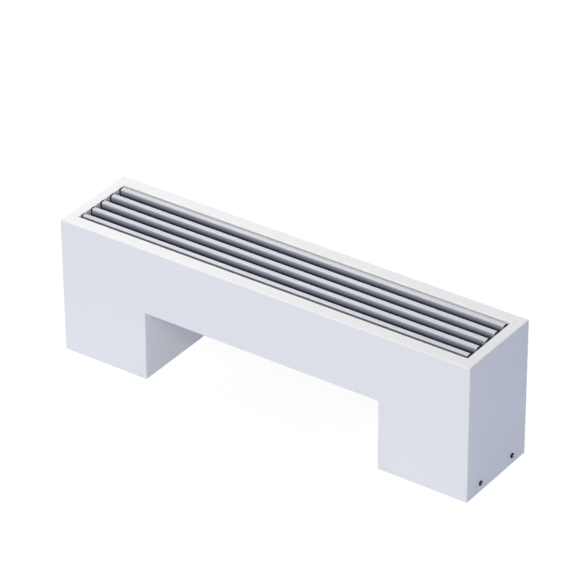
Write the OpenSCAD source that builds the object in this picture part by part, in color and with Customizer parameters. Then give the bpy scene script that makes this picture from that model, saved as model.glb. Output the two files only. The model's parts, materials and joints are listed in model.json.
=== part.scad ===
// Floor-standing convector: a bench-shaped steel casing on two box legs, with a
// lift-out bar grille on top and a finned heat exchanger inside.
// Origin at the centre of the footprint on the floor. X along the length, front at -Y, Z up.

/* [Casing] */
// Overall length of the casing
casing_l = 920; // [780:10:1200]
// Overall depth of the casing, front to rear
casing_d = 200; // [190:2:240]
// Overall height from the floor
casing_h = 290; // [280:2:360]
// Length of each box leg along the casing
leg_w = 195; // [185:5:230]
// Clear height under the beam, between the legs
gap_h = 148; // [130:2:156]
// Sheet thickness of the casing
sheet_t = 1.5; // [1:0.25:2]
// Outer radius of the casing's folds
bend_r = 2.5; // [2.25:0.25:3.5]
// Width of the top border at the front and rear
rim_w = 28; // [24:1:32]
// Width of the top border at each end
rim_end_w = 23; // [18:1:30]
// Width of the turned-in hem along the beam's lower edge
hem_w = 12; // [8:1:15]
// Width of the stiffening flange on top of each leg's inner side
leg_flange_w = 12; // [8:1:15]

/* [Grille] */
// Number of long bars
slat_count = 5; // [5:1:7]
// Width of each bar
slat_w = 12; // [9:0.5:14]
// Height of each bar
slat_h = 24; // [22:1:28]
// Radius of the bar's top edges
slat_r = 3.5; // [1.5:0.25:4.25]
// Clear gap from each bar's end to the opening
slat_end_gap = 4; // [2:0.5:6]
// Part of that gap that the rubber cap on each bar's end fills
cap_share = 0.85; // [0.6:0.05:0.9]
// Clear gap from the outer bars to the opening
slat_side_gap = 6; // [5.5:0.5:8]
// Number of cross rods through the bars
rod_count = 6; // [4:1:8]
// Diameter of the cross rods
rod_d = 5; // [4:0.5:6]
// Depth of the rods' axis below the top face
rod_drop = 18.5; // [17:0.5:19]
// Outside diameter of the spacer sleeves
spacer_d = 8; // [7.5:0.25:9]
// Width across flats of the rod end nuts
rod_nut_af = 8; // [7.5:0.25:9]
// Thickness of the rod end nuts
rod_nut_t = 4; // [3:0.25:4.75]
// Thickness of the rubber pads under the grille
pad_t = 1.5; // [1:0.25:2.5]
// Length of each rubber pad
pad_l = 30; // [16:2:50]
// Number of pads along each ledge
pad_count = 3; // [2:1:5]

/* [Heat exchanger] */
// Width of the fins, front to rear
fin_w = 150; // [144:2:160]
// Part of the height between the beam's lower edge and the grille that the fins fill
fin_h_share = 0.51; // [0.46:0.01:0.55]
// Thickness of each fin
fin_t = 0.6; // [0.4:0.1:1]
// Distance from fin to fin
fin_pitch = 8; // [6:0.5:12]
// Part of that height that is left clear under the fins
fin_lift_share = 0.2; // [0.16:0.01:0.24]
// How far the fin pack reaches into each leg
fin_overlap = 35; // [26:1:45]
// Outside diameter of the copper tubes
tube_d = 15; // [12:0.5:16]
// Wall of the copper tubes
tube_wall = 1; // [0.75:0.25:1.5]
// Distance between the tube rows, front to rear
tube_span_y = 80; // [72:2:88]
// Part of that height between the upper and lower tubes' axes
tube_span_z_share = 0.27; // [0.25:0.005:0.28]
// Wall of the fin collars and of the bends' sockets
collar_t = 1; // [0.5:0.25:1.5]
// Bare length of tube outside each end plate
tube_stub = 38; // [37:1:46]
// Depth of the sockets that take a tube end
socket_l = 12; // [8:1:14]
// Thickness of the exchanger's end plates
end_plate_t = 2; // [1.5:0.25:3]
// Part of that height from the fins down to the end plates' feet
foot_drop_share = 0.07; // [0.05:0.01:0.09]
// Length of the feet along the casing
foot_l = 24; // [22:1:26]

/* [Connections] */
// Length of each connection block along the casing
block_l = 34; // [30:1:40]
// Width of each connection block, front to rear
block_w = 30; // [27:1:34]
// Part of that height that each block has above the upper and below the lower tubes' axes
block_margin_share = 0.185; // [0.17:0.005:0.2]
// Minor diameter of the pipe ports' thread
port_d = 18.6; // [15:0.1:19]
// Depth of the pipe ports
port_l = 15; // [12:1:17]
// Diameter of the water channel in the blocks
channel_d = 12; // [9:0.5:13]
// Diameter of the thread of the vent and blank plugs
plug_d = 9.7; // [9:0.1:10.5]
// Depth of the plugs' thread
plug_l = 8; // [6:0.5:9]
// Width across flats of the plugs' hexagon
plug_af = 14; // [13:0.5:17]
// Height of the plugs' hexagon
plug_h = 5; // [4:0.5:7]
// Diameter of the vent screw's stem
vent_d = 5; // [4:0.25:5.5]
// Length of the vent screw's stem
vent_l = 9; // [6:0.5:11]
// Diameter of the vent screw's head
vent_head_d = 9; // [8:0.5:12]
// Height of the vent screw's head
vent_head_h = 4; // [3:0.5:5]
// Width of the slot in the vent screw's head
vent_slot_w = 1.4; // [1:0.1:2]
// Depth of that slot
vent_slot_h = 1.8; // [1:0.1:2.2]

/* [Floor brackets] */
// Thickness of the base plates and uprights
plate_t = 3; // [2:0.5:4]
// Width of the base plates, front to rear
plate_w = 170; // [164:2:176]
// Gap between a base plate and the leg's inner side
plate_gap = 4; // [2:1:8]
// Height of the base plate's upturned flange
flange_h = 34; // [30:1:44]
// Distance of the side screws from the casing's front and rear
side_screw_inset = 46; // [40:1:60]
// Height of the side screws above the floor
side_screw_z = 18; // [16:0.5:20]
// Diameter of the anchor holes
anchor_d = 7; // [6:0.5:9]
// Distance between the anchor holes, front to rear
anchor_span = 104; // [100:2:112]
// Distance from the upright to the anchor holes along the casing
anchor_offset = 100; // [90:1:110]
// Width of the uprights, front to rear
upright_w = 84; // [74:2:88]
// Length of the pipe cut-out along the casing
pipe_cut_l = 36; // [30:1:38]
// Extra width of the pipe cut-out outside the two port axes
pipe_cut_margin = 20; // [14:1:24]

/* [Fasteners] */
// Diameter of the side screws
screw_d = 6; // [5:0.5:6.5]
// Length of the side screws under the head
screw_l = 14; // [12:1:16]
// Diameter of the side screws' round head
screw_head_d = 10.5; // [9:0.5:12]
// Height of that head
screw_head_h = 3.3; // [3:0.1:4.5]
// Width across flats of the hexagon socket
screw_key_af = 4; // [3:0.5:4.5]
// Depth of the hexagon socket
screw_key_h = 2; // [1:0.25:2.5]
// Body diameter of the rivet nuts
insert_d = 9; // [8.5:0.5:10]
// Length of the rivet nuts
insert_l = 13; // [10:1:16]
// Diameter of the rivet nuts' rim
insert_rim_d = 13; // [11.5:0.5:14]
// Thickness of that rim
insert_rim_t = 1; // [0.75:0.25:1.5]
// Diameter of the foot screws
foot_screw_d = 5; // [4:0.5:6]
// Distance between the foot screws, front to rear
foot_screw_span = 60; // [50:2:66]
// Width across flats of the foot screws' head
foot_screw_af = 8; // [7.5:0.25:9]
// Height of the foot screws' head
foot_screw_head_h = 3.5; // [3:0.25:5]
// Diameter of the levelling screws
level_d = 8; // [6:0.5:10]
// Distance between the levelling screws, front to rear
level_span = 146; // [142:2:148]
// Distance from the upright to the levelling screws along the casing
level_offset = 30; // [24:1:34]
// Travel of the levelling screws below the floor plate
level_travel = 10; // [5:1:15]
// Width across flats of the levelling screws' head and nut
level_af = 13; // [12.5:0.25:14]
// Height of the levelling screws' head
level_head_h = 5; // [4:0.5:6]
// Height of the levelling nuts
level_nut_h = 6.5; // [5:0.5:8]

/* [Clearances] */
// Radial gap of fixed round pieces in their holes
fit_gap = 0.1; // [0.05:0.05:0.2]
// Radial gap of moving round pieces in their holes
run_gap = 0.3; // [0.2:0.05:0.4]

/* [Hidden] */

// Overrun of every cut past the faces that it opens
over = 1;
// Facets of round pieces
$fn = 48;

// Casing, derived
gap_l = casing_l - 2 * leg_w;
inner_r = bend_r - sheet_t;
half_l = casing_l / 2;
half_d = casing_d / 2;
opening_d = casing_d - 2 * rim_w;
opening_l = casing_l - 2 * rim_end_w;
ledge_z = casing_h - slat_h - pad_t;
lip_h = casing_h - ledge_z + sheet_t;
// Part of the outer bar's width that its ledge reaches under
ledge_reach_share = 0.8;
ledge_w = slat_side_gap + ledge_reach_share * slat_w;
leg_x = gap_l / 2;
// Depth of the casing between its long folds
flat_d = casing_d - 2 * bend_r;

// Grille, derived
slat_l = opening_l - 2 * slat_end_gap;
cap_t = cap_share * slat_end_gap;
slat_field = opening_d - 2 * slat_side_gap;
slat_pitch = (slat_field - slat_w) / (slat_count - 1);
rod_axis_z = casing_h - rod_drop;
rod_pitch = slat_l / rod_count;
spacer_l = slat_pitch - slat_w - 2 * fit_gap;
// Part of the ledge's reach under a bar that a pad fills
pad_w_share = 0.7;
pad_w = pad_w_share * ledge_reach_share * slat_w;
pad_pitch = slat_l / pad_count;

// Heat exchanger, derived
room_h = casing_h - slat_h - gap_h;
fin_h = fin_h_share * room_h;
tube_span_z = tube_span_z_share * room_h;
fin_pack_l = gap_l + 2 * fin_overlap;
fin_count = floor((fin_pack_l - fin_t) / fin_pitch) + 1;
fin_run = (fin_count - 1) * fin_pitch;
fin_z = gap_h + fin_lift_share * room_h;
pack_z = fin_z + fin_h / 2;
foot_z = fin_z - foot_drop_share * room_h;
plate_x = fin_pack_l / 2;
tube_end_x = plate_x + end_plate_t + tube_stub;
socket_d = tube_d + 2 * fit_gap + 2 * collar_t;
tube_ys = [-tube_span_y / 2, tube_span_y / 2];
tube_zs = [pack_z - tube_span_z / 2, pack_z + tube_span_z / 2];

// Connections, derived
block_x = tube_end_x - socket_l;
block_h = tube_span_z + 2 * block_margin_share * room_h;
block_z = pack_z - block_h / 2;
port_x = block_x + block_l - block_l / 3;
plug_z = block_z + block_h;
// Part of the vent screw's clear bore that goes on as the fine air channel
air_channel_share = 0.3;

// Floor brackets, derived
insert_x = half_l - sheet_t - insert_rim_t;
base_x = leg_x + sheet_t + plate_gap;
base_l = insert_x - base_x;
upright_h = foot_z - plate_t;
screw_y = half_d - side_screw_inset;
level_nut_z = plate_t;
level_top_z = level_nut_z + level_nut_h + level_travel;

// Mirrors a piece of the right leg to the left leg
module to_left() { mirror([1, 0, 0]) children(); }

// A round piece along Z from z0 to z1
module cyl_z(d, z0, z1) { translate([0, 0, z0]) cylinder(d = d, h = z1 - z0); }

// A round piece along X from x0 to x1
module cyl_x(d, x0, x1) { translate([x0, 0, 0]) rotate([0, 90, 0]) cylinder(d = d, h = x1 - x0); }

// A round piece along Y, centred
module cyl_y(d, l) { rotate([90, 0, 0]) cylinder(d = d, h = l, center = true); }

// Hexagon by its width across flats
module hex(af, h) { cylinder(d = af / cos(30), h = h, $fn = 6); }

// Quarter of a fold's cross-section, in the quadrant that sx and sy name
module fold(sx, sy) {
  difference() {
    intersection() {
      circle(r = bend_r);
      translate([sx > 0 ? 0 : -bend_r, sy > 0 ? 0 : -bend_r]) square(bend_r);
    }
    circle(r = inner_r);
  }
}

// Profile drawn in Y and Z, carried along X between two places
module along_x(x0, x1) {
  translate([x0, 0, 0]) rotate([90, 0, 90]) linear_extrude(height = x1 - x0) children();
}

// Profile drawn in X and Z, carried along Y over the width w, centred
module along_y(w) { translate([0, w / 2, 0]) rotate([90, 0, 0]) linear_extrude(height = w) children(); }

// Face of the beam, its top fold and the border flange as far as the opening's fold
module beam_profile() {
  translate([-half_d, gap_h + bend_r]) square([sheet_t, casing_h - gap_h - 2 * bend_r]);
  translate([-half_d + bend_r, casing_h - bend_r]) fold(-1, 1);
  translate([-half_d + bend_r, casing_h - sheet_t]) square([rim_w - 2 * bend_r, sheet_t]);
}

// Strip of the border flange beside the opening, with or without the part that the opening's fold takes
module rim_profile(flat_end) {
  translate([-half_d + rim_w - 2 * bend_r, casing_h - sheet_t]) square([flat_end, sheet_t]);
}

// Lip that turns down from the border and the ledge that turns in under the grille
module lip_profile() {
  rim_profile(bend_r);
  translate([-half_d + rim_w - bend_r, casing_h - bend_r]) fold(1, 1);
  translate([-half_d + rim_w - sheet_t, ledge_z - sheet_t + bend_r])
    square([sheet_t, lip_h - 2 * bend_r]);
  translate([-half_d + rim_w - sheet_t + bend_r, ledge_z - sheet_t + bend_r]) fold(-1, -1);
  translate([-half_d + rim_w - sheet_t + bend_r, ledge_z - sheet_t])
    square([ledge_w + sheet_t - bend_r, sheet_t]);
}

// Lower fold and hem of the beam, between the legs
module hem_profile() {
  translate([-half_d, gap_h + bend_r]) square([sheet_t, bend_r]);
  translate([-half_d + bend_r, gap_h + bend_r]) fold(-1, -1);
}

// Long folded sheet of the beam
module beam_panel() {
  along_x(-half_l + bend_r, half_l - bend_r) beam_profile();
  along_x(-opening_l / 2, opening_l / 2) lip_profile();
  for (s = [0, 1]) mirror([s, 0, 0]) along_x(opening_l / 2, half_l - bend_r) rim_profile(2 * bend_r);
  along_x(-leg_x - bend_r, leg_x + bend_r) hem_profile();
  along_x(-leg_x, leg_x) {
    hem_profile();
    translate([-half_d + bend_r, gap_h]) square([hem_w - bend_r, sheet_t]);
  }
}

module casing_front() { color("whitesmoke") beam_panel(); }

module casing_rear() { color("whitesmoke") mirror([0, 1, 0]) beam_panel(); }

// Rounded plan of the casing, drawn inside the outer face by the inset
module plan(inset) {
  r = bend_r - inset;
  w = half_l - bend_r;
  d = half_d - bend_r;
  square([2 * w, 2 * (d + r)], center = true);
  square([2 * (w + r), 2 * d], center = true);
  for (sx = [-1, 1], sy = [-1, 1]) translate([sx * w, sy * d]) circle(r = r);
}

// Upright cross-section of the casing with rounded top corners, carried below the floor by the depth
module arch(half, inset, depth) {
  r = bend_r - inset;
  w = half - bend_r;
  translate([-w - r, -depth]) square([2 * (w + r), casing_h - bend_r + depth]);
  translate([-w, -depth]) square([2 * w, casing_h - inset + depth]);
  for (s = [-1, 1]) translate([s * w, casing_h - bend_r]) circle(r = r);
}

// Solid block of the casing with all outer edges rounded
module casing_block(inset, depth) {
  intersection() {
    translate([0, 0, -depth]) linear_extrude(height = casing_h - inset + depth) plan(inset);
    along_y(casing_d) arch(half_l, inset, depth);
    along_x(-half_l, half_l) arch(half_d, inset, depth);
  }
}

// Wrap of the end panel: face, upright corners and the top fold outside the opening's width
module end_wrap() {
  difference() {
    intersection() {
      casing_block(0, 0);
      translate([half_l - bend_r, -half_d, 0]) cube([bend_r, casing_d, casing_h]);
    }
    casing_block(sheet_t, over);
    translate([half_l - bend_r - over, -opening_d / 2, casing_h - bend_r])
      cube([bend_r + 2 * over, opening_d, bend_r + over]);
  }
}

// Top fold, border flange and lip of the end panel, over the opening's width
module end_flange() {
  along_y(opening_d) {
    translate([half_l - sheet_t, casing_h - 2 * bend_r]) square([sheet_t, bend_r]);
    translate([half_l - bend_r, casing_h - bend_r]) fold(1, 1);
    translate([opening_l / 2 + bend_r, casing_h - sheet_t]) square([rim_end_w - 2 * bend_r, sheet_t]);
    translate([opening_l / 2 + bend_r, casing_h - bend_r]) fold(-1, 1);
    translate([opening_l / 2, casing_h - lip_h]) square([sheet_t, lip_h - bend_r]);
  }
}

// Right end panel with the two screw holes
module end_panel() {
  difference() {
    union() {
      end_wrap();
      end_flange();
    }
    for (y = [-screw_y, screw_y]) translate([0, y, side_screw_z])
      cyl_x(screw_d + 2 * run_gap, half_l - sheet_t - over, half_l + over);
  }
}

module casing_end_left() { color("whitesmoke") to_left() end_panel(); }

module casing_end_right() { color("whitesmoke") end_panel(); }

// Plan of a leg's front and rear faces
module leg_faces_plan() {
  for (s = [0, 1]) mirror([0, s]) translate([leg_x + bend_r, -half_d])
    square([leg_w - 2 * bend_r, sheet_t]);
}

// Plan of the two upright folds between a leg's faces and its inner side
module leg_folds_plan() {
  for (s = [0, 1]) mirror([0, s]) {
    translate([leg_x + bend_r, -half_d + bend_r]) fold(-1, -1);
    translate([leg_x + bend_r, -half_d]) square([bend_r, sheet_t]);
  }
}

// Shell of the right leg in one sheet: front face, inner side with a flange on top, and rear face
module leg_shell() {
  linear_extrude(height = gap_h + bend_r) leg_faces_plan();
  linear_extrude(height = gap_h) leg_folds_plan();
  linear_extrude(height = gap_h - bend_r) {
    leg_folds_plan();
    translate([leg_x, -flat_d / 2]) square([sheet_t, flat_d]);
  }
  along_y(flat_d) {
    translate([leg_x, gap_h - 2 * bend_r]) square([sheet_t, bend_r]);
    translate([leg_x + bend_r, gap_h - bend_r]) fold(-1, 1);
    translate([leg_x + bend_r, gap_h - sheet_t]) square([leg_flange_w - bend_r, sheet_t]);
  }
}

module leg_shell_left() { color("whitesmoke") to_left() leg_shell(); }

module leg_shell_right() { color("whitesmoke") leg_shell(); }

// Cross-section of a grille bar in Y and Z, its top edges rounded
module slat_profile() {
  translate([-slat_w / 2, casing_h - slat_h]) square([slat_w, slat_h - slat_r]);
  translate([-slat_w / 2 + slat_r, casing_h - slat_r]) square([slat_w - 2 * slat_r, slat_r]);
  for (s = [-1, 1]) translate([s * (slat_w / 2 - slat_r), casing_h - slat_r]) circle(r = slat_r);
}

// Place of a bar from front to rear by its number, counted from the front
function slat_y(i) = (i - 1 - (slat_count - 1) / 2) * slat_pitch;

// Bar of the grille by its number
module slat(i) {
  y = slat_y(i);
  if (i <= slat_count) color("lightgray") translate([0, y, 0]) difference() {
    along_x(-slat_l / 2, slat_l / 2) slat_profile();
    at_rods() cyl_y(rod_d + 2 * fit_gap, slat_w + 2 * over);
  }
}

module slat_1() { slat(1); }

module slat_2() { slat(2); }

module slat_3() { slat(3); }

module slat_4() { slat(4); }

// Any bars past the fifth are made with it
module slat_5() { for (i = [5:max(5, slat_count)]) slat(i); }

// Rubber cap on both ends of every bar, with the bar's own cross-section
module slat_caps() {
  color("black") for (i = [1:slat_count], m = [0, 1])
    translate([0, slat_y(i), 0]) mirror([m, 0, 0])
      along_x(slat_l / 2, slat_l / 2 + cap_t) slat_profile();
}

// Places of the cross rods along the grille
module at_rods() {
  for (i = [0:rod_count - 1])
    translate([(i - (rod_count - 1) / 2) * rod_pitch, 0, rod_axis_z]) children();
}

module grille_rods() { color("dimgray") at_rods() cyl_y(rod_d, slat_field + 2 * rod_nut_t); }

module grille_spacers() {
  color("dimgray") at_rods() for (i = [0:slat_count - 2])
    translate([0, (i + 1 - slat_count / 2) * slat_pitch, 0]) difference() {
      cyl_y(spacer_d, spacer_l);
      cyl_y(rod_d + 2 * fit_gap, spacer_l + 2 * over);
    }
}

module grille_nuts() {
  color("dimgray") at_rods() for (s = [0, 1]) mirror([0, s, 0])
    translate([0, slat_field / 2 + rod_nut_t, 0]) rotate([90, 0, 0]) difference() {
      hex(rod_nut_af, rod_nut_t);
      cyl_z(rod_d + 2 * fit_gap, -over, rod_nut_t + over);
    }
}

module grille_pads() {
  pad_y = slat_field / 2 - ledge_reach_share * slat_w / 2;
  color("black") for (i = [0:pad_count - 1], s = [-1, 1])
    translate([(i - (pad_count - 1) / 2) * pad_pitch - pad_l / 2, s * pad_y - pad_w / 2, ledge_z])
      cube([pad_l, pad_w, pad_t]);
}

// Places of the four tubes in Y and Z
module at_tubes() { for (y = tube_ys, z = tube_zs) translate([0, y, z]) children(); }

// Finned block: fins along the tubes, held apart by their collars
module fin_pack() {
  color([0.1, 0.1, 0.11]) difference() {
    union() {
      for (i = [0:fin_count - 1])
        translate([i * fin_pitch - fin_run / 2 - fin_t / 2, -fin_w / 2, fin_z]) cube([fin_t, fin_w, fin_h]);
      at_tubes() cyl_x(socket_d, -fin_run / 2, fin_run / 2);
    }
    at_tubes() cyl_x(tube_d + 2 * fit_gap, -fin_run / 2 - over, fin_run / 2 + over);
  }
}

// One copper tube of the exchanger
module tube(y, z) {
  color("peru") translate([0, y, z]) difference() {
    cyl_x(tube_d, -tube_end_x, tube_end_x);
    cyl_x(tube_d - 2 * tube_wall, -tube_end_x - over, tube_end_x + over);
  }
}

module tube_1() { tube(tube_ys[0], tube_zs[0]); }

module tube_2() { tube(tube_ys[0], tube_zs[1]); }

module tube_3() { tube(tube_ys[1], tube_zs[0]); }

module tube_4() { tube(tube_ys[1], tube_zs[1]); }

// Return bend at the left end: a half ring with a socket for each tube
module bend(z) {
  color("peru") translate([-tube_end_x, 0, z]) {
    rotate([0, 0, 90]) rotate_extrude(angle = 180) translate([tube_span_y / 2, 0]) difference() {
      circle(d = socket_d);
      circle(d = tube_d - 2 * tube_wall);
    }
    for (y = tube_ys) translate([0, y, 0]) difference() {
      cyl_x(socket_d, 0, socket_l);
      cyl_x(tube_d + 2 * fit_gap, 0, socket_l + over);
    }
  }
}

module bend_upper() { bend(tube_zs[1]); }

module bend_lower() { bend(tube_zs[0]); }

// End plate of the exchanger: holes for the tubes and a foot turned out on the saddle
module end_plate() {
  color("silver") difference() {
    union() {
      translate([plate_x, -fin_w / 2, foot_z + end_plate_t])
        cube([end_plate_t, fin_w, fin_z + fin_h - foot_z - end_plate_t]);
      translate([plate_x, -upright_w / 2, foot_z]) cube([foot_l, upright_w, end_plate_t]);
    }
    at_tubes() cyl_x(tube_d + 2 * fit_gap, plate_x - over, plate_x + end_plate_t + over);
    at_foot_screws() cyl_z(foot_screw_d + 2 * fit_gap, foot_z - over, foot_z + end_plate_t + over);
  }
}

module end_plate_left() { to_left() end_plate(); }

module end_plate_right() { end_plate(); }

// Places of the screws through a foot
module at_foot_screws() {
  for (s = [-1, 1]) translate([plate_x + (foot_l + end_plate_t) / 2, s * foot_screw_span / 2, 0]) children();
}

module foot_screws() {
  color("gray") at_foot_screws() {
    translate([0, 0, foot_z + end_plate_t]) hex(foot_screw_af, foot_screw_head_h);
    cyl_z(foot_screw_d, foot_z - 2 * plate_t, foot_z + end_plate_t);
  }
}

module foot_screws_left() { to_left() foot_screws(); }

module foot_screws_right() { foot_screws(); }

// Brass block that joins an upper and a lower tube, with a pipe port below and a plug hole on top
module connection_block(y) {
  color("darkgoldenrod") difference() {
    translate([block_x, y - block_w / 2, block_z]) cube([block_l, block_w, block_h]);
    for (z = tube_zs) translate([0, y, z]) {
      cyl_x(tube_d + 2 * fit_gap, block_x - over, block_x + socket_l);
      cyl_x(tube_d - 2 * tube_wall, block_x, port_x);
    }
    translate([port_x, y, 0]) {
      cyl_z(port_d, block_z - over, block_z + port_l);
      cyl_z(channel_d, block_z, plug_z - plug_l);
      cyl_z(plug_d + 2 * fit_gap, plug_z - plug_l, plug_z + over);
    }
  }
}

module supply_block() { connection_block(tube_ys[0]); }

module return_block() { connection_block(tube_ys[1]); }

// Threaded plug with a hexagon, seated on a block
module plug_body() {
  translate([0, 0, plug_z]) hex(plug_af, plug_h);
  cyl_z(plug_d, plug_z - plug_l, plug_z);
}

module vent_plug() {
  color("goldenrod") translate([port_x, tube_ys[0], 0]) difference() {
    plug_body();
    cyl_z(vent_d + 2 * run_gap, plug_z + plug_h - vent_l, plug_z + plug_h + over);
    cyl_z(air_channel_share * vent_d, plug_z - plug_l - over, plug_z + plug_h);
  }
}

module blank_plug() { color("goldenrod") translate([port_x, tube_ys[1], 0]) plug_body(); }

// Vent screw: stem in the plug and a slotted head
module vent_screw() {
  top_z = plug_z + plug_h;
  color("silver") translate([port_x, tube_ys[0], 0]) difference() {
    union() {
      cyl_z(vent_d, top_z - vent_l + run_gap, top_z + run_gap);
      cyl_z(vent_head_d, top_z + run_gap, top_z + run_gap + vent_head_h);
    }
    translate([-vent_head_d, -vent_slot_w / 2, top_z + run_gap + vent_head_h - vent_slot_h])
      cube([2 * vent_head_d, vent_slot_w, vent_slot_h + over]);
  }
}

// Places of the levelling screws of the right leg, by side
module at_level(s) { translate([plate_x + level_offset, s * level_span / 2, 0]) children(); }

// Base plate on the floor, with the flange that takes the side screws
module base_plate() {
  cut_w = tube_span_y + 2 * pipe_cut_margin;
  color("silver") difference() {
    union() {
      translate([base_x, -plate_w / 2, 0]) cube([base_l, plate_w, plate_t]);
      translate([insert_x - plate_t, -plate_w / 2, plate_t]) cube([plate_t, plate_w, flange_h - plate_t]);
    }
    for (y = [-screw_y, screw_y]) translate([0, y, side_screw_z])
      cyl_x(insert_d + 2 * fit_gap, insert_x - plate_t - over, insert_x + over);
    translate([port_x - pipe_cut_l / 2, -cut_w / 2, -over]) cube([pipe_cut_l, cut_w, plate_t + 2 * over]);
    for (s = [-1, 1]) {
      translate([plate_x + anchor_offset, s * anchor_span / 2, 0]) cyl_z(anchor_d, -over, plate_t + over);
      at_level(s) cyl_z(level_d + 2 * run_gap, -over, plate_t + over);
    }
  }
}

module base_plate_left() { to_left() base_plate(); }

module base_plate_right() { base_plate(); }

// Upright: foot on the base plate, web, and saddle under the exchanger's foot
module upright() {
  color("silver") difference() {
    union() {
      translate([plate_x, -upright_w / 2, plate_t]) cube([foot_l, upright_w, plate_t]);
      translate([plate_x, -upright_w / 2, plate_t]) cube([plate_t, upright_w, upright_h]);
      translate([plate_x, -upright_w / 2, foot_z - plate_t]) cube([foot_l, upright_w, plate_t]);
    }
    at_foot_screws() cyl_z(foot_screw_d + 2 * fit_gap, foot_z - plate_t - over, foot_z + over);
  }
}

module upright_left() { to_left() upright(); }

module upright_right() { upright(); }

// Button-head screw along X: its head lies on the end panel
module side_screws() {
  color([0.2, 0.2, 0.21]) for (y = [-screw_y, screw_y]) translate([half_l, y, side_screw_z]) difference() {
    union() {
      rotate([0, 90, 0]) button_head();
      cyl_x(screw_d, -screw_l, 0);
    }
    translate([screw_head_h - screw_key_h, 0, 0]) rotate([0, 90, 0]) hex(screw_key_af, screw_key_h + over);
  }
}

// Low dome of the button head, with a short rim under it
module button_head() {
  // Part of the head's height that is its straight rim
  rim_share = 0.2;
  rim = rim_share * screw_head_h;
  rise = screw_head_h - rim;
  r = (pow(screw_head_d / 2, 2) + rise * rise) / (2 * rise);
  rotate_extrude() intersection() {
    square([screw_head_d / 2, screw_head_h]);
    translate([0, screw_head_h - r]) circle(r = r);
  }
}

module side_screws_left() { to_left() side_screws(); }

module side_screws_right() { side_screws(); }

// Rivet nuts in the base plate's flange, their rims against the end panel
module rivet_nuts() {
  color("gray") for (y = [-screw_y, screw_y]) translate([insert_x, y, side_screw_z]) difference() {
    union() {
      cyl_x(insert_rim_d, 0, insert_rim_t);
      cyl_x(insert_d, -insert_l, 0);
    }
    cyl_x(screw_d + 2 * fit_gap, -insert_l - over, insert_rim_t + over);
  }
}

module rivet_nuts_left() { to_left() rivet_nuts(); }

module rivet_nuts_right() { rivet_nuts(); }

module levelling_nuts() {
  color("gray") for (m = [0, 1], s = [-1, 1]) mirror([m, 0, 0]) at_level(s)
    translate([0, 0, level_nut_z]) difference() {
      hex(level_af, level_nut_h);
      cyl_z(level_d + 2 * run_gap, -over, level_nut_h + over);
    }
}

// Levelling screw on the floor, its head clear of the nut by its travel
module levelling_screw(s) {
  color("darkgray") at_level(s) {
    cyl_z(level_d, 0, level_top_z);
    translate([0, 0, level_top_z]) hex(level_af, level_head_h);
  }
}

module levelling_screw_front_left() { to_left() levelling_screw(-1); }

module levelling_screw_rear_left() { to_left() levelling_screw(1); }

module levelling_screw_front_right() { levelling_screw(-1); }

module levelling_screw_rear_right() { levelling_screw(1); }

casing_front();
casing_rear();
casing_end_left();
casing_end_right();
leg_shell_left();
leg_shell_right();
slat_1();
slat_2();
slat_3();
slat_4();
slat_5();
slat_caps();
grille_rods();
grille_spacers();
grille_nuts();
grille_pads();
fin_pack();
tube_1();
tube_2();
tube_3();
tube_4();
bend_upper();
bend_lower();
end_plate_left();
end_plate_right();
supply_block();
return_block();
vent_plug();
vent_screw();
blank_plug();
base_plate_left();
base_plate_right();
upright_left();
upright_right();
foot_screws_left();
foot_screws_right();
side_screws_left();
side_screws_right();
rivet_nuts_left();
rivet_nuts_right();
levelling_nuts();
levelling_screw_front_left();
levelling_screw_rear_left();
levelling_screw_front_right();
levelling_screw_rear_right();
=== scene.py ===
# Floor-standing convector: folded sheet panels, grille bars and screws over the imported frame.
import json
import math

import bpy
import numpy as np
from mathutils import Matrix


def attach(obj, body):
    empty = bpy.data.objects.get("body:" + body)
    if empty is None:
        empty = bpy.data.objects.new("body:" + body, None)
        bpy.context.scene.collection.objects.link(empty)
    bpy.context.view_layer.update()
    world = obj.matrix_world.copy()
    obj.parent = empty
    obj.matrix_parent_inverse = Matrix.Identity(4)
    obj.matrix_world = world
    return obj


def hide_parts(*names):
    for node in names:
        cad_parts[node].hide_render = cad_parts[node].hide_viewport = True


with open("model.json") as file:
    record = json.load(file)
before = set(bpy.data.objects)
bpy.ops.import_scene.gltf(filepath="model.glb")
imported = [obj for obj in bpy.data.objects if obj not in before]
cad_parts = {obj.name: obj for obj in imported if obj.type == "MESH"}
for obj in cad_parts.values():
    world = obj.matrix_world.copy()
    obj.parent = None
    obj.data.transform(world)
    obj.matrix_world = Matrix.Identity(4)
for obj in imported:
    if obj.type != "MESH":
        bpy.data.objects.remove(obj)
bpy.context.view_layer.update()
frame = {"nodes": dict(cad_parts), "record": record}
print("frame loaded with", len(frame["nodes"]), "nodes")

millimetre = 0.001  # the sizes of the pieces are in millimetres, and all else is in metres

# Where the photograph was taken from: angles in degrees, lens and sensor in millimetres
photoView = {
    "azimuth": 35.1075,
    "elevation": 31.7637,
    "roll": -0.3235,
    "aim": (-0.024436, 0.036084, 0.215375),
    "distance": 6.967108,
    "lens": 230.9666,
    "sensor": 36.0,
    "clipEnd": 100.0,
}


# Right, up and backward directions of a camera or lamp. Backward is (sin a cos e, -cos a cos e, sin e) for
# the azimuth a, counted from the front towards the right, and the elevation e.
def facingAxes(azimuth, elevation):
    a, e = math.radians(azimuth), math.radians(elevation)
    back = np.array([math.sin(a) * math.cos(e), -math.cos(a) * math.cos(e), math.sin(e)])
    right = np.array([math.cos(a), math.sin(a), 0.0])
    return right, np.cross(back, right), back


# Puts a camera or lamp into the scene: the columns of its matrix are its three directions and its spot
def standAt(thing, right, up, back, spot):
    turn = np.eye(4)
    turn[:3] = np.column_stack([right, up, back, spot])
    thing.matrix_world = turn.T.tolist()
    bpy.context.scene.collection.objects.link(thing)


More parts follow.
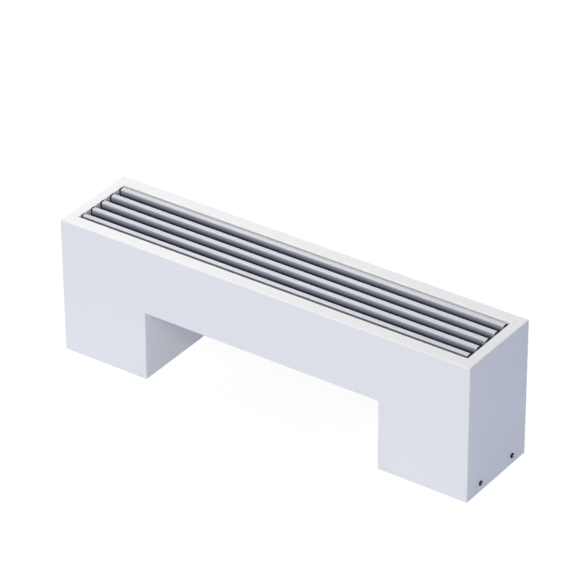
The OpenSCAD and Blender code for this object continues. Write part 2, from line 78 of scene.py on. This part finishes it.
# The camera stands at the aim point plus the distance times its backward direction, and the roll turns its
# right and up directions about that
def makeCamera(view):
    right, up, back = facingAxes(view["azimuth"], view["elevation"])
    roll = math.radians(view["roll"])
    rolledRight = right * math.cos(roll) + up * math.sin(roll)
    rolledUp = up * math.cos(roll) - right * math.sin(roll)
    data = bpy.data.cameras.new("photoCamera")
    data.lens = view["lens"]
    data.sensor_fit = "HORIZONTAL"
    data.sensor_width = view["sensor"]
    data.clip_end = view["clipEnd"]
    camera = bpy.data.objects.new("photoCamera", data)
    standAt(camera, rolledRight, rolledUp, back, np.array(view["aim"]) + view["distance"] * back)
    bpy.context.scene.camera = camera


makeCamera(photoView)
bpy.context.scene.view_settings.view_transform = "Standard"
print("camera set")


# Adds a shader node at a place in a tree. Each input, numbered or named, is joined to the output that is
# given for it or set to the value; an underscore in a name stands for a space.
def addNode(tree, kind, at, settings=None, numbered=None, **named):
    node = tree.nodes.new("ShaderNode" + kind)
    node.location = at
    for name, value in (settings or {}).items():
        setattr(node, name, value)
    inputs = {**(numbered or {}), **{name.replace("_", " "): value for name, value in named.items()}}
    for key, value in inputs.items():
        if isinstance(value, bpy.types.NodeSocket):
            tree.links.new(value, node.inputs[key])
        else:
            node.inputs[key].default_value = value
    return node


# Result of a Math or VectorMath node: a length is a number, and every other vector result a vector
def addMath(tree, kind, at, operation, *values):
    outputs = addNode(tree, kind, at, {"operation": operation}, dict(enumerate(values))).outputs
    return outputs["Vector" if kind == "VectorMath" and operation != "LENGTH" else "Value"]


# A value moved in proportion from one range to another, and held at its ends
def mapRange(tree, at, value, source, target=(0.0, 1.0)):
    ends = {"From_Min": source[0], "From_Max": source[1], "To_Min": target[0], "To_Max": target[1]}
    return addNode(tree, "MapRange", at, Value=value, **ends).outputs["Result"]


# Value of a noise over the given coordinates
def addNoise(tree, at, place, scale, detail, roughness):
    sizes = {"Scale": scale, "Detail": detail, "Roughness": roughness}
    return addNode(tree, "TexNoise", at, Vector=place, **sizes).outputs["Fac"]


# Colour that goes through a row of tones, given with their positions in rising order, as a value rises
def rampColour(tree, at, value, stops):
    ramp = addNode(tree, "ValToRGB", at, Fac=value)
    elements = ramp.color_ramp.elements
    for k, (position, tone) in enumerate(stops):
        stop = elements[k] if k < len(elements) else elements.new(position)
        stop.position = position
        stop.color = (*tone, 1)
    return ramp.outputs["Color"]


# Two colours mixed by a share. The node's inputs 6 and 7 and its output 2 are the ones for colours.
def mixColours(tree, at, share, first, second, blend="MIX"):
    settings = {"data_type": "RGBA", "blend_type": blend}
    return addNode(tree, "Mix", at, settings, {0: share, 6: first, 7: second}).outputs[2]


# Normal that leans with the slope of a pattern value times the height in metres
def addRelief(tree, value, height):
    return addNode(tree, "Bump", (50, -350), Height=value, Distance=height, Strength=1.0).outputs["Normal"]


# An empty material, its tree and the object coordinates
def startMaterial(name):
    mat = bpy.data.materials.new(name)
    mat.use_nodes = True
    mat.node_tree.nodes.clear()
    place = addNode(mat.node_tree, "TexCoord", (-1100, 0)).outputs["Object"]
    return mat, mat.node_tree, place


# Ends a material in one shader with the inputs given for it
def endMaterial(tree, **inputs):
    shader = addNode(tree, "BsdfPrincipled", (300, 0), **inputs)
    addNode(tree, "OutputMaterial", (600, 0), Surface=shader.outputs["BSDF"])


# The slow drift that the finishes share: its noise, and the values at which a pattern reaches the two tones
# and the two limits of the roughness
drift = {"detail": 3.0, "roughness": 0.55, "tones": (0.25, 0.75), "limits": (0.3, 0.7)}

# Kinds of grained finish: the fine noise, whether the roughness follows it and not the drift, and how much
# the surface reflects
skins = {
    "powder": {"detail": 2.0, "roughness": 0.5, "fineRough": True, "metallic": 0.0, "specular": 0.4},
    "metal": {"detail": 4.0, "roughness": 0.6, "fineRough": False, "metallic": 1.0, "specular": 0.5},
    "matt": {"detail": 3.0, "roughness": 0.6, "fineRough": False, "metallic": 0.0, "specular": 0.25},
}

# The bars' finish. The painted shade, darker and bluer towards the bars' bottoms where shade falls between
# them, has its tones at shares of its band of heights, and the painted shadow of the casing's lips begins
# between two distances from the grille's middle line, all in metres. Streaks is how fine the noise is on
# each axis.
barFinish = {
    "tone": (0.58, 0.597, 0.65),
    "shade": (0.615, 0.631, 0.682),
    "patches": 9.0,
    # painted shade: the bars turn dark and bluish towards their bottoms, where shade falls between them
    "paintedShade": [
        (0.0, (0.028, 0.033, 0.052)),
        (0.44, (0.385, 0.43, 0.56)),
        (0.77, (0.66, 0.695, 0.8)),
        (1.0, (1.0, 1.0, 1.0)),
    ],
    "paintedShadeHeights": (0.2765, 0.2895),
    # painted shadow that the casing's lips cast on the outer bars' outer sides
    "lipShadow": (0.185, 0.19, 0.222),
    "lipShadowStart": (0.0649, 0.0656),
    "streaks": (3.0, 700.0, 700.0),
    "streakNoise": (1.0, 3.0, 0.6),
    "relief": 0.000005,
    "rough": (0.56, 0.64),
    "metallic": 0.2,
}


# Colour that drifts between two tones with a noise of the given scale, and that noise
def driftColour(tree, place, tone, shade, scale):
    noise = addNoise(tree, (-700, 200), place, scale, drift["detail"], drift["roughness"])
    return rampColour(tree, (-450, 200), noise, zip(drift["tones"], (tone, shade))), noise


# Black plating that the key has worn to bare steel inside the socket. The share of the plating rises from
# none to one as the distance from the screw's axis passes two radii. The coordinates lose their signs first,
# so that all the screws share one axis.
def wornSocket(tree, place, plating, worn):
    folded = addMath(tree, "VectorMath", (-1100, 700), "ABSOLUTE", place)
    moved = addMath(tree, "VectorMath", (-900, 700), "SUBTRACT", folded, worn["axis"])
    across = addMath(tree, "VectorMath", (-700, 700), "MULTIPLY", moved, (0, 1, 1))  # the axis runs along X
    away = addMath(tree, "VectorMath", (-500, 700), "LENGTH", across)
    share = mapRange(tree, (-300, 700), away, worn["radii"])
    return mixColours(tree, (0, 400), share, (*worn["bare"], 1), plating)


# Grained finish: the colour drifts slowly between two tones, a fine noise gives the relief, such as orange
# peel, and the roughness goes between two limits with one or the other
def grainedSkin(name, kind, tone, shade, patches, grain, relief, rough, worn=None):
    skin = skins[kind]
    mat, tree, place = startMaterial(name)
    colour, slow = driftColour(tree, place, tone, shade, patches)
    fine = addNoise(tree, (-700, -300), place, grain, skin["detail"], skin["roughness"])
    endMaterial(
        tree,
        Base_Color=wornSocket(tree, place, colour, worn) if worn else colour,
        Roughness=mapRange(tree, (-150, -80), fine if skin["fineRough"] else slow, drift["limits"], rough),
        Normal=addRelief(tree, fine, relief),
        Metallic=skin["metallic"],
        Specular_IOR_Level=skin["specular"],
    )
    return mat


# Drawn bar: satin aluminium with streaks stretched along X, and a painted shade that darkens it lower down,
# where shade falls between the bars. The painted shade's tone follows a point's height and multiplies the
# metal's. The outer sides of the outer bars are no lighter than a painted shadow of the casing's lips.
def paintedShadeBar(name, f):
    mat, tree, place = startMaterial(name)
    metal = driftColour(tree, place, f["tone"], f["shade"], f["patches"])[0]
    split = addNode(tree, "SeparateXYZ", (-900, 500), Vector=place).outputs
    level = mapRange(tree, (-700, 500), split["Z"], f["paintedShadeHeights"])
    # painted shade: darker and bluer lower down on the bars
    paintedShade = rampColour(tree, (-450, 500), level, f["paintedShade"])
    shadedMetal = mixColours(tree, (-150, 300), 1.0, metal, paintedShade, "MULTIPLY")
    away = addMath(tree, "Math", (-450, 800), "ABSOLUTE", split["Y"])
    # painted shadow of the casing's lips on the outer bars' outer sides
    share = mapRange(tree, (-250, 800), away, f["lipShadowStart"])
    stretched = addNode(tree, "Mapping", (-900, -200), Vector=place, Scale=f["streaks"]).outputs["Vector"]
    streak = addNoise(tree, (-700, -300), stretched, *f["streakNoise"])
    endMaterial(
        tree,
        Base_Color=mixColours(tree, (50, 500), share, shadedMetal, (*f["lipShadow"], 1), "DARKEN"),
        Roughness=mapRange(tree, (-150, -80), streak, drift["limits"], f["rough"]),
        Normal=addRelief(tree, streak, f["relief"]),
        Metallic=f["metallic"],
    )
    return mat


# Galvanised sheet: each crystal of a cell pattern has its own tone and gloss
def galvanised(name, tone, shade, cell, relief, rough):
    mat, tree, place = startMaterial(name)
    cells = addNode(tree, "TexVoronoi", (-900, 200), Vector=place, Scale=cell, Randomness=1.0).outputs
    own = addNode(tree, "SeparateColor", (-700, 200), Color=cells["Color"]).outputs
    endMaterial(
        tree,
        Base_Color=rampColour(tree, (-450, 200), own["Red"], [(0.0, shade), (1.0, tone)]),
        Roughness=mapRange(tree, (-150, -80), own["Green"], (0.0, 1.0), rough),
        Normal=addRelief(tree, cells["Distance"], relief),
        Metallic=1.0,
    )
    return mat


# One finish for each material slot: two tones, the scales of the drift and the fine noise, the relief's
# height in metres and the limits of the roughness
finishes = {
    "casing": grainedSkin(
        "whitePowderCoat", "powder", tone=(0.865, 0.875, 0.895), shade=(0.88, 0.888, 0.905),
        patches=5.0, grain=850.0, relief=0.00004, rough=(0.36, 0.48),
    ),
    "grille": paintedShadeBar("satinAluminiumWithPaintedShade", barFinish),
    "rods": grainedSkin(
        "rodBlackCoat", "matt", tone=(0.035, 0.035, 0.04), shade=(0.06, 0.06, 0.065),
        patches=60.0, grain=1200.0, relief=0.00003, rough=(0.4, 0.6),
    ),
    "rubber": grainedSkin(
        "padRubber", "matt", tone=(0.02, 0.02, 0.021), shade=(0.035, 0.035, 0.036),
        patches=90.0, grain=1800.0, relief=0.00005, rough=(0.75, 0.95),
    ),
    "fins": grainedSkin(
        "finMattBlack", "matt", tone=(0.022, 0.022, 0.025), shade=(0.038, 0.038, 0.041),
        patches=25.0, grain=900.0, relief=0.00003, rough=(0.6, 0.85),
    ),
    "copper": grainedSkin(
        "drawnCopper", "metal", tone=(0.78, 0.42, 0.28), shade=(0.6, 0.3, 0.19),
        patches=40.0, grain=1500.0, relief=0.00001, rough=(0.22, 0.42),
    ),
    "brass": grainedSkin(
        "machinedBrass", "metal", tone=(0.78, 0.6, 0.3), shade=(0.66, 0.48, 0.22),
        patches=55.0, grain=1800.0, relief=0.00001, rough=(0.2, 0.36),
    ),
    "zinc": galvanised(
        "galvanisedSheet", tone=(0.72, 0.74, 0.77), shade=(0.5, 0.52, 0.55),
        cell=130.0, relief=0.00002, rough=(0.3, 0.55),
    ),
    "screws": grainedSkin(
        "zincPlating", "metal", tone=(0.7, 0.71, 0.73), shade=(0.52, 0.53, 0.56),
        patches=120.0, grain=2200.0, relief=0.00001, rough=(0.24, 0.42),
    ),
    "black_screws": grainedSkin(
        "blackenedSteel", "metal", tone=(0.016, 0.017, 0.021), shade=(0.01, 0.011, 0.014),
        patches=160.0, grain=2600.0, relief=0.000008, rough=(0.22, 0.34),
        worn={"axis": (0, 0.054, 0.018), "radii": (0.0023, 0.0027), "bare": (0.46, 0.47, 0.5)},
    ),
}
for part in frame["record"]["subparts"]:
    cadNode = frame["nodes"][part["node"]]
    cadNode.data.materials.clear()
    cadNode.data.materials.append(finishes[part["material_slot"]])
print("finishes ready:", ", ".join(finishes))


# A path of straight and curved steps as points and normals. A line's normal is its direction turned a
# quarter to the left; an arc's is its radius, pointing out (side 1) or to the centre (side -1).
def tracePath(steps, arcParts=8):
    points, normals = [], []
    for step in steps:
        if step[0] == "line":
            ends = np.array(step[1:3], float)
            way = (ends[1] - ends[0]) / np.linalg.norm(ends[1] - ends[0])
            spots, outs = ends, np.tile([-way[1], way[0]], (2, 1))
        else:
            centre, radius, start, end, side = step[1:]
            angles = np.radians(np.linspace(start, end, arcParts + 1))
            radial = np.column_stack([np.cos(angles), np.sin(angles)])
            spots, outs = np.array(centre) + radius * radial, side * radial
        shared = 1 if points else 0  # a step starts on the last point of the one before
        points.append(spots[shared:])
        normals.append(outs[shared:])
    return np.vstack(points), np.vstack(normals)


# Rounded free edge of a sheet: two quarter arcs of the edge radius between the outer and inner faces,
# from the outer normal n to the outward direction d and on to -n
def roundedEdge(spot, n, d, thick, edge, parts=3):
    t = np.radians(np.linspace(0, 90, parts + 1))[:, None]
    first = spot - d * edge - n * edge + edge * (n * np.cos(t) + d * np.sin(t))
    second = spot - d * edge - n * (thick - edge) + edge * (d * np.cos(t) - n * np.sin(t))
    return np.vstack([first, second])


# Closed outline of a sheet: its outer path, one end, the path shifted inwards by the thickness, and the
# other end. A rounded end takes the place of the outermost points of both paths.
def sheetOutline(steps, thick, roundStart=None, roundEnd=None):
    outer, outs = tracePath(steps)
    inner = (outer - outs * thick)[::-1]
    ahead = np.column_stack([outs[:, 1], -outs[:, 0]])
    startEdge = endEdge = np.empty((0, 2))
    if roundEnd:
        endEdge = roundedEdge(outer[-1], outs[-1], ahead[-1], thick, roundEnd)
    if roundStart:
        startEdge = roundedEdge(outer[0], outs[0], -ahead[0], thick, roundStart)[::-1]
    atStart, atEnd = int(bool(roundStart)), int(bool(roundEnd))
    outer = outer[atStart:len(outer) - atEnd]
    inner = inner[atEnd:len(inner) - atStart]
    return np.vstack([outer, endEdge, inner, startEdge])


# Faces between neighbouring rings of points and a flat face on the first and last ring. A mesh's faces are
# kept in groups, each a table of point numbers with a row for each face.
def ringFaces(rows, count):
    i, j = np.meshgrid(np.arange(rows - 1), np.arange(count), indexing="ij")
    here, after = i * count + j, i * count + (j + 1) % count
    ring = np.arange(count)[None]
    quads = np.stack([here, after, after + count, here + count], -1).reshape(-1, 4)
    return [quads, ring[:, ::-1], (rows - 1) * count + ring]


# A closed mesh with its faces outwards: each face is a fan of triangles from its first point, and where
# their signed volumes come out negative together, every face is turned round
def turnOutwards(verts, groups):
    corners = [verts[group] for group in groups]
    volume = sum(np.sum(np.cross(c[:, 1:-1], c[:, 2:]) * c[:, :1]) for c in corners)
    return verts, [group[:, ::-1] if volume < 0 else group for group in groups]


# Carries a closed outline along an axis: a ring of points at each station, drawn in along the outline's
# normals by that station's inset where there are any
def carryOutline(outline, stations, axis, insets=None, outs=None):
    rings = np.repeat(outline[None], len(stations), 0)
    if insets is not None:
        rings = rings - insets[:, None, None] * outs[None]
    along = np.repeat(np.array(stations, float)[:, None, None], len(outline), 1)
    a, b = rings[..., :1], rings[..., 1:]
    parts = {"x": (along, a, b), "y": (a, along, b), "z": (a, b, along)}[axis]
    verts = np.concatenate(parts, 2).reshape(-1, 3)
    return turnOutwards(verts, ringFaces(len(stations), len(outline)))


# Several meshes as one, with the point numbers of each moved past those before it
def joinMeshes(meshes):
    starts = np.cumsum([0] + [len(verts) for verts, _ in meshes])
    moved = [group + start for (_, groups), start in zip(meshes, starts) for group in groups]
    return np.vstack([verts for verts, _ in meshes]), moved


# The mirror image of a mesh: one coordinate changes sign and every face is turned round
def mirrorMesh(mesh, axis):
    flip = np.ones(3)
    flip["xyz".index(axis)] = -1
    return mesh[0] * flip, [group[:, ::-1] for group in mesh[1]]


# Puts points in millimetres and faces into a piece at the origin, smooth but for edges past the crease angle
def makePiece(name, mesh, slot, body, node, crease=35.0):
    data = bpy.data.meshes.new(name)
    faces = [face for group in mesh[1] for face in group.tolist()]
    data.from_pydata((mesh[0] * millimetre).tolist(), [], faces)
    data.polygons.foreach_set("use_smooth", np.ones(len(data.polygons), bool))
    data.set_sharp_from_angle(angle=math.radians(crease))
    data.update()
    piece = bpy.data.objects.new(name, data)
    bpy.context.scene.collection.objects.link(piece)
    data.materials.append(finishes[slot])
    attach(piece, body)
    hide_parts(node)


# The casing's sizes, in millimetres
casing = {
    "length": 920.0,
    "depth": 200.0,
    "height": 290.0,
    "leg": 195.0,
    "gap": 148.0,
    "sheet": 1.5,
    "fold": 2.5,
    "rim": 28.0,
    "rimEnd": 23.0,
    "rimDrop": 27.0,
    "ledgeTop": 264.5,
    "ledgeReach": 15.6,
    "hem": 12.0,
    "legFlange": 12.0,
    "edge": 0.4,
    "seam": 0.12,
}


# Front panel of the beam: face, top fold and border over the whole length; over the opening the fold, lip
# and ledge; beside it a plain strip; between the legs the lower fold and hem. All are one sheet thick.
def beamPanel(c):
    r, t, e = c["fold"], c["sheet"], c["edge"]
    face, top = -c["depth"] / 2, c["height"]
    half, leg = c["length"] / 2, c["length"] / 2 - c["leg"]
    mouth, lip = half - c["rimEnd"], face + c["rim"]
    ledge = c["ledgeTop"]
    wall = [
        ("line", (face, c["gap"] + r), (face, top - r)),
        ("arc", (face + r, top - r), r, 180, 90, 1),
        ("line", (face + r, top), (lip - r, top)),
    ]
    brim = [
        ("arc", (lip - r, top - r), r, 90, 0, 1),
        ("line", (lip, top - r), (lip, ledge + r - t)),
        ("arc", (lip + r - t, ledge + r - t), r - t, 180, 270, -1),
        ("line", (lip + r - t, ledge), (lip + c["ledgeReach"], ledge)),
    ]
    strip = sheetOutline([("line", (lip - r, top), (lip - c["seam"], top))], t, roundEnd=e)
    foldUnder = [("arc", (face + r, c["gap"] + r), r, 270, 180, 1)]
    hem = [("line", (face + c["hem"], c["gap"]), (face + r, c["gap"]))]
    return joinMeshes([
        carryOutline(sheetOutline(wall, t), [r - half, half - r], "x"),
        carryOutline(sheetOutline(brim, t, roundEnd=e), [-mouth, mouth], "x"),
        carryOutline(strip, [mouth, half - r], "x"),
        carryOutline(strip, [r - half, -mouth], "x"),
        carryOutline(sheetOutline(foldUnder, t), [-leg - r, leg + r], "x"),
        carryOutline(sheetOutline(hem, t, roundStart=e), [-leg, leg], "x"),
    ])


# Rounded corner where three folds meet: an eighth of a ball of the fold radius with an eighth of a smaller
# ball taken out, as points of angle round the corner and angle up, with one point on top of each ball
def cornerShell(centre, radius, thick, parts=8):
    steps = np.radians(np.linspace(0, 90, parts + 1))
    turn, rise = np.meshgrid(steps, steps[:-1], indexing="ij")
    ray = np.stack([np.cos(rise) * np.cos(turn), -np.cos(rise) * np.sin(turn), np.sin(rise)], -1)
    rays = np.vstack([ray.reshape(-1, 3), [0, 0, 1]])
    verts = np.vstack([np.array(centre) + k * rays for k in (radius, radius - thick)])
    shell, top = len(rays), len(rays) - 1
    number = np.arange(top).reshape(parts + 1, parts)
    near, far = number[:-1], number[1:]
    outer = np.stack([near[:, :-1], near[:, 1:], far[:, 1:], far[:, :-1]], -1).reshape(-1, 4)
    crown = np.stack([near[:, -1], np.full(parts, top), far[:, -1]], -1)
    low = np.stack([near[:, 0], far[:, 0], far[:, 0] + shell, near[:, 0] + shell], -1)
    first, last = np.append(number[0], top), np.append(number[-1], top)
    side = np.stack([first[1:], first[:-1], first[:-1] + shell, first[1:] + shell], -1)
    other = np.stack([last[:-1], last[1:], last[1:] + shell, last[:-1] + shell], -1)
    quads = np.vstack([outer, outer[:, ::-1] + shell, low, side, other])
    return verts, [quads, np.vstack([crown, crown[:, ::-1] + shell])]


# End panel: upright wrap of face and two corner folds; top fold between two rounded corners; over the
# opening's width the border flange with its fold and lip
def endPanel(c):
    r, t, e = c["fold"], c["sheet"], c["edge"]
    half, deep, top = c["length"] / 2, c["depth"] / 2, c["height"]
    mouth, wide = half - c["rimEnd"], c["depth"] / 2 - c["rim"]
    wrap = [
        ("arc", (half - r, deep - r), r, 90, 0, 1),
        ("line", (half, deep - r), (half, r - deep)),
        ("arc", (half - r, r - deep), r, 0, -90, 1),
    ]
    topFold = [("arc", (half - r, top - r), r, 90, 0, 1)]
    flange = [
        ("line", (mouth, top - c["rimDrop"]), (mouth, top - r)),
        ("arc", (mouth + r, top - r), r, 180, 90, 1),
        ("line", (mouth + r, top), (half - r, top)),
    ]
    corner = cornerShell((half - r, r - deep, top - r), r, t)
    return joinMeshes([
        carryOutline(sheetOutline(wrap, t), [0.0, top - r], "z"),
        carryOutline(sheetOutline(topFold, t), [r - deep, deep - r], "y"),
        carryOutline(sheetOutline(flange, t, roundStart=e), [c["seam"] - wide, wide - c["seam"]], "y"),
        corner,
        mirrorMesh(corner, "y"),
    ])


# Shell of a leg: below the beam one sheet goes along the front face, round an upright fold, across the inner
# side, round the other fold and along the rear face; above that the faces and folds rise to the beam, and
# the inner side folds over to its flange
def legShell(c):
    r, t, e = c["fold"], c["sheet"], c["edge"]
    half, deep, gap = c["length"] / 2, c["depth"] / 2, c["gap"]
    leg = half - c["leg"]
    face = ("line", (half - r, -deep), (leg + r, -deep))
    frontFold = ("arc", (leg + r, r - deep), r, 270, 180, 1)
    around = [
        face,
        frontFold,
        ("line", (leg, r - deep), (leg, deep - r)),
        ("arc", (leg + r, deep - r), r, 180, 90, 1),
        ("line", (leg + r, deep), (half - r, deep)),
    ]
    flange = [
        ("arc", (leg + r, gap - r), r, 180, 90, 1),
        ("line", (leg + r, gap), (leg + c["legFlange"], gap)),
    ]
    faceTop = carryOutline(sheetOutline([face], t), [gap - r, gap + r], "z")
    foldTop = carryOutline(sheetOutline([frontFold], t), [gap - r, gap], "z")
    return joinMeshes([
        carryOutline(sheetOutline(around, t), [0.0, gap - r], "z"),
        carryOutline(sheetOutline(flange, t, roundEnd=e), [r - deep, deep - r], "y"),
        faceTop,
        foldTop,
        mirrorMesh(faceTop, "y"),
        mirrorMesh(foldTop, "y"),
    ])


frontMesh, endMesh, legMesh = beamPanel(casing), endPanel(casing), legShell(casing)
makePiece("casingFrontPanel", frontMesh, "casing", "convector", "casing_front")
makePiece("casingRearPanel", mirrorMesh(frontMesh, "y"), "casing", "convector", "casing_rear")
makePiece("casingRightEnd", endMesh, "casing", "convector", "casing_end_right")
makePiece("casingLeftEnd", mirrorMesh(endMesh, "x"), "casing", "convector", "casing_end_left")
makePiece("rightLegShell", legMesh, "casing", "convector", "leg_shell_right")
makePiece("leftLegShell", mirrorMesh(legMesh, "x"), "casing", "convector", "leg_shell_left")
print("casing panels made")

# The grille's bars, in millimetres
bars = {
    "count": 5,
    "width": 12.0,
    "height": 24.0,
    "top": 290.0,
    "length": 866.0,
    "pitch": 30.0,
    "topRound": 3.5,
    "lowRound": 0.6,
    "endRound": 0.5,
}


# Bar: a rectangle with two large and two small quarter rounds, carried along X and drawn in along its
# normals by a quarter round at each end
def grilleBar(b, y, endParts=3):
    w, low, top = b["width"] / 2, b["top"] - b["height"], b["top"]
    big, small, e = b["topRound"], b["lowRound"], b["endRound"]
    spots, outs = tracePath([
        ("arc", (y + w - big, top - big), big, 90, 0, 1),
        ("arc", (y + w - small, low + small), small, 0, -90, 1),
        ("arc", (y - w + small, low + small), small, 270, 180, 1),
        ("arc", (y - w + big, top - big), big, 180, 90, 1),
    ])
    t = np.radians(np.linspace(0, 90, endParts + 1))
    ends = b["length"] / 2 - e + e * np.cos(t)
    drawn = e - e * np.sin(t)
    stations, insets = np.concatenate([-ends, ends[::-1]]), np.concatenate([drawn, drawn[::-1]])
    return carryOutline(spots, stations, "x", insets, outs)


for i in range(bars["count"]):
    middle = (i - (bars["count"] - 1) / 2) * bars["pitch"]
    makePiece(f"grilleBar{i + 1}", grilleBar(bars, middle), "grille", "grille", f"slat_{i + 1}")
print("grille bars made")

# The low screws of the end panels, in millimetres. The dome goes from the mouth's radius to the head's; the
# key's bevel is how much wider it gets, where it lies under the dome and how far it reaches down and up from
# there; each round is how far it goes in and along.
endScrew = {
    "head": 10.5,
    "rise": 3.3,
    "rim": 1.7,
    "mouth": 2.75,
    "domeRings": 9,
    "key": 4.0,
    "keyDeep": 2.0,
    "coneDeep": 0.5,
    "coneTip": 0.04,
    "bevelWiden": 1.04,
    "bevelUnder": 0.12,
    "bevelDown": 0.1,
    "bevelUp": 0.06,
    "headRound": (0.25, 0.2),
    "shank": 6.0,
    "under": 14.0,
    "shankRound": (0.5, 0.6),
    "shankTip": 0.02,
    "spread": 54.0,
    "level": 18.0,
}


# Button head: rings of points round X, each with a radius and a height over the panel, from the bottom of
# the socket over the dome to the end of the shank. The socket's rings follow a hexagon, whose radius is half
# its width over the cosine of the angle from the nearest flat's middle, and the dome's lie on a ball.
def buttonScrew(s, x, y, parts=72):
    turn = np.radians(np.linspace(0, 360, parts, endpoint=False))
    flat = math.radians(60)
    hexagon = s["key"] / 2 / np.cos((turn + flat / 2) % flat - flat / 2)
    circle = np.ones(parts)
    edge, shank, rise = s["head"] / 2, s["shank"] / 2, s["rise"] - s["rim"]
    ball = (edge**2 + rise**2) / (2 * rise)
    reach = np.linspace(s["mouth"], edge, s["domeRings"])
    dome = np.sqrt(ball**2 - reach**2) - ball + s["rise"]
    floor = s["rise"] - s["keyDeep"]
    bevel = dome[0] - s["bevelUnder"]
    rings = [
        (circle * s["coneTip"], floor - s["coneDeep"]),
        (hexagon * 0.5, floor - s["coneDeep"] / 2),
        (hexagon, floor),
        (hexagon, bevel - s["bevelDown"]),
        (hexagon * s["bevelWiden"], bevel + s["bevelUp"]),
        *zip(reach[:, None] * circle, dome),
        (circle * edge, s["headRound"][1]),
        (circle * (edge - s["headRound"][0]), 0.0),
        (circle * shank, 0.0),
        (circle * shank, s["shankRound"][1] - s["under"]),
        (circle * (shank - s["shankRound"][0]), -s["under"]),
        (circle * s["shankTip"], -s["under"]),
    ]
    radii = np.array([radius for radius, _ in rings])
    heights = np.array([height for _, height in rings])[:, None] * circle
    verts = np.stack([x + heights, y + radii * np.sin(turn), s["level"] + radii * np.cos(turn)], -1)
    quads, firstCap, lastCap = ringFaces(*radii.shape)
    turned = [quads[:, [0, 3, 2, 1]], firstCap[:, ::-1], lastCap[:, ::-1]]  # each face the other way round
    return turnOutwards(verts.reshape(-1, 3), turned)


spread = endScrew["spread"]
rightScrews = joinMeshes([buttonScrew(endScrew, casing["length"] / 2, y) for y in (-spread, spread)])
makePiece("rightEndScrews", rightScrews, "black_screws", "convector", "side_screws_right")
makePiece("leftEndScrews", mirrorMesh(rightScrews, "x"), "black_screws", "convector", "side_screws_left")
print("screws made")

# Floor and light. The floor shows white to the camera and in reflections, with a share of its shaded colour;
# its own glow rises to full white between two distances from the middle. Each lamp is a square that stands
# at its azimuth, counted from the front towards the right, and its elevation, and faces the middle.
stage = {
    "floorSize": 16.0,
    "floorTone": (0.7, 0.775, 0.965),
    "floorGlow": 0.905,
    "floorShade": 0.18,
    "whiteReach": (0.9, 3.0),
    "sky": (0.087, 0.127, 0.24),
    "lamps": {
        "overheadSoftbox": {
            "azimuth": -90.0, "elevation": 70.0, "distance": 2.2,
            "side": 0.8, "watts": 19.6, "tone": (1.0, 0.95, 0.86),
        },
        "frontSoftbox": {
            "azimuth": 22.5, "elevation": 34.0, "distance": 12.0,
            "side": 6.0, "watts": 905.0, "tone": (1.0, 0.937, 0.765),
        },
        "rearSoftbox": {
            "azimuth": 188.0, "elevation": 10.0, "distance": 6.0,
            "side": 3.0, "watts": 165.0, "tone": (1.0, 0.92, 0.8),
        },
    },
}


# Ends a tree with one shader for rays from the camera, a mirror-like surface or glass, and a plain one for
# the rest: the first one's share is the greatest of the light path's three marks
def endWithSeen(tree, output, seen, plain):
    rays = addNode(tree, "LightPath", (-300, 400)).outputs
    direct = addMath(tree, "Math", (-100, 400), "MAXIMUM", rays["Is Camera Ray"], rays["Is Glossy Ray"])
    share = addMath(tree, "Math", (100, 400), "MAXIMUM", direct, rays["Is Transmission Ray"])
    shaders = {0: share, 1: plain.outputs[0], 2: seen.outputs[0]}
    mixed = addNode(tree, "MixShader", (600, 0), None, shaders).outputs[0]
    addNode(tree, output, (800, 0), Surface=mixed)


# Square floor round the middle, with its glow for what the camera sees and a plain pale blue for the rest
def makeFloor(s):
    side = s["floorSize"] / 2
    corners = [(-side, -side, 0), (side, -side, 0), (side, side, 0), (-side, side, 0)]
    data = bpy.data.meshes.new("studioFloor")
    data.from_pydata(corners, [], [(0, 1, 2, 3)])
    floor = bpy.data.objects.new("studioFloor", data)
    bpy.context.scene.collection.objects.link(floor)
    mat, tree, place = startMaterial("studioFloor")
    away = addMath(tree, "VectorMath", (-300, 250), "LENGTH", place)
    rise = mapRange(tree, (-100, 250), away, s["whiteReach"], (s["floorGlow"], 1.0))
    glow = addNode(tree, "Emission", (100, 250), Strength=rise)
    shade = addNode(tree, "BsdfDiffuse", (100, 100), Color=(s["floorShade"],) * 3 + (1,))
    seen = addNode(tree, "AddShader", (300, 200), None, {0: glow.outputs[0], 1: shade.outputs[0]})
    plain = addNode(tree, "BsdfDiffuse", (300, -200), Color=(*s["floorTone"], 1))
    endWithSeen(tree, "OutputMaterial", seen, plain)
    data.materials.append(mat)


# White behind everything, while the light that falls from it is the soft sky tone
def makeSky(s):
    world = bpy.data.worlds.new("studioSky")
    bpy.context.scene.world = world
    world.use_nodes = True
    tree = world.node_tree
    tree.nodes.clear()
    white = addNode(tree, "Background", (300, 100), Color=(1, 1, 1, 1), Strength=1.0)
    soft = addNode(tree, "Background", (300, -100), Color=(*s["sky"], 1), Strength=1.0)
    endWithSeen(tree, "OutputWorld", white, soft)


# Each lamp stands at its distance times its backward direction
def makeLamps(s):
    for name, lamp in s["lamps"].items():
        right, up, back = facingAxes(lamp["azimuth"], lamp["elevation"])
        data = bpy.data.lights.new(name, "AREA")
        data.energy, data.size, data.color = lamp["watts"], lamp["side"], lamp["tone"]
        standAt(bpy.data.objects.new(name, data), right, up, back, back * lamp["distance"])


makeFloor(stage)
makeSky(stage)
makeLamps(stage)
print("floor and light set")
